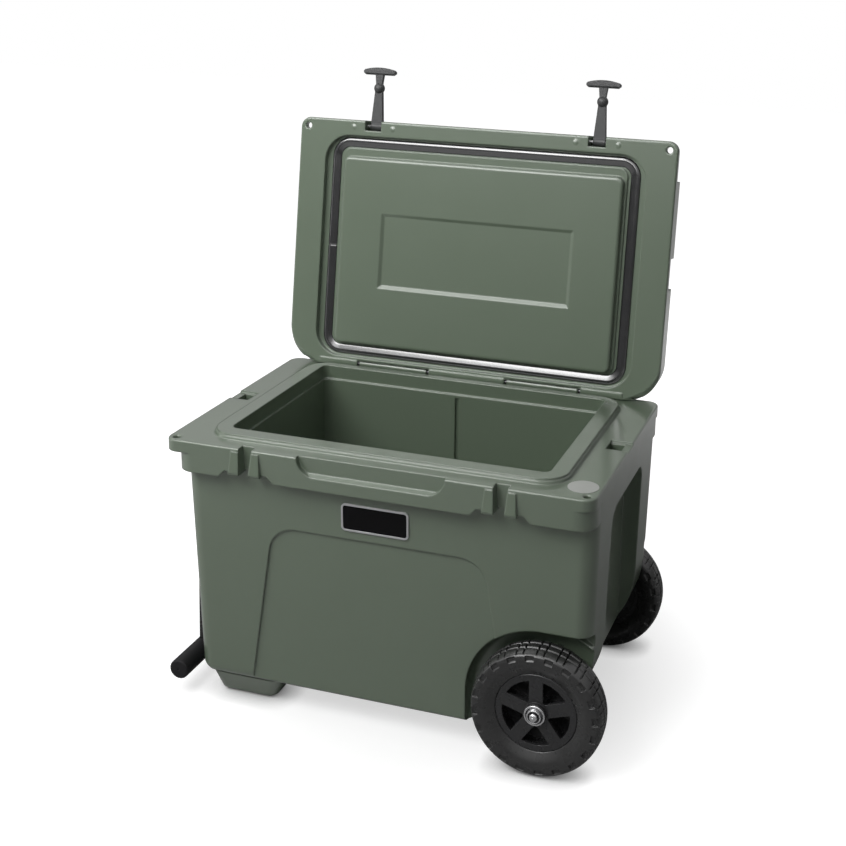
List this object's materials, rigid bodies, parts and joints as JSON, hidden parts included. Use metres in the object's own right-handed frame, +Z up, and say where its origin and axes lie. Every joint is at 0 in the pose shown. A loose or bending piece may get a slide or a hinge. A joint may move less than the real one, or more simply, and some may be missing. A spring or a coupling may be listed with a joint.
{
  "type": "wheeled cooler",
  "caption": "Foam-filled hard cooler with a hinged lid shown open, rubber draw latches, a tow handle at one end and treaded wheels at the other.",
  "frame": {"origin": "on the floor, under the middle of the part's box with the lid open", "axes": "+X towards the wheel end, +Y towards the hinge side, +Z up"},
  "size_m": [0.7202, 0.5466, 0.9708],
  "materials": {
    "green_body": "slightly pebbled sage green polyethylene",
    "green_lid": "slightly pebbled sage green polyethylene",
    "badge_black": "smooth black",
    "badge_silver": "satin silver",
    "label": "pale printed film, left bare",
    "gasket": "soft dark grey",
    "latch_rubber": "charcoal rubber",
    "tyre": "matt black",
    "hub_plastic": "black moulded",
    "nylon": "smooth black nylon",
    "steel": "satin",
    "handle_plastic": "black",
    "grip_rubber": "black"
  },
  "bodies": {
    "tub": {"tub": "green_body", "badge_plate": "badge_black", "badge_frame": "badge_silver", "round_label": "label", "hinge_pin_left": "steel", "hinge_pin_right": "steel", "axle": "steel", "axle_bushes": "nylon", "wheel_washers": "steel", "axle_nuts": "steel", "handle_brackets": "handle_plastic", "handle_pivot_pins": "steel", "drain_fitting": "handle_plastic"},
    "lid": {"lid": "green_lid", "lid_gasket": "gasket", "latch_pins": "steel"},
    "left_latch": {"latch_left": "latch_rubber"},
    "right_latch": {"latch_right": "latch_rubber"},
    "front_wheel": {"tyre_front": "tyre", "wheel_hub_front": "hub_plastic", "hub_bush_front": "nylon"},
    "back_wheel": {"tyre_back": "tyre", "wheel_hub_back": "hub_plastic", "hub_bush_back": "nylon"},
    "handle": {"handle_frame": "handle_plastic", "handle_grip": "grip_rubber", "grip_end_caps": "grip_rubber"},
    "drain_plug": {"drain_plug": "handle_plastic"}
  },
  "joints": [
    {"name": "lid_hinge", "type": "hinge", "parent": "tub", "child": "lid", "pos_m": [-0.0036, 0.16948, 0.4551], "axis": [1, 0, 0], "range_deg": [0, 98.8]},
    {"name": "left_latch_hinge", "type": "hinge", "parent": "lid", "child": "left_latch", "pos_m": [-0.2046, 0.24654, 0.86858], "axis": [1, 0, 0], "range_deg": [0, 90]},
    {"name": "right_latch_hinge", "type": "hinge", "parent": "lid", "child": "right_latch", "pos_m": [0.1974, 0.24654, 0.86858], "axis": [1, 0, 0], "range_deg": [0, 90]},
    {"name": "front_wheel_spin", "type": "hinge", "parent": "tub", "child": "front_wheel", "pos_m": [0.2584, -0.24102, 0.1017], "axis": [0, 1, 0], "continuous": true},
    {"name": "back_wheel_spin", "type": "hinge", "parent": "tub", "child": "back_wheel", "pos_m": [0.2584, 0.16498, 0.1017], "axis": [0, 1, 0], "continuous": true},
    {"name": "handle_swing", "type": "hinge", "parent": "tub", "child": "handle", "pos_m": [-0.3349, -0.03802, 0.372], "axis": [0, 1, 0], "range_deg": [0, 120]},
    {"name": "drain_plug_slide", "type": "slide", "parent": "tub", "child": "drain_plug", "axis": [-1, 0, 0], "range_m": [0, 0.02]}
  ]
}
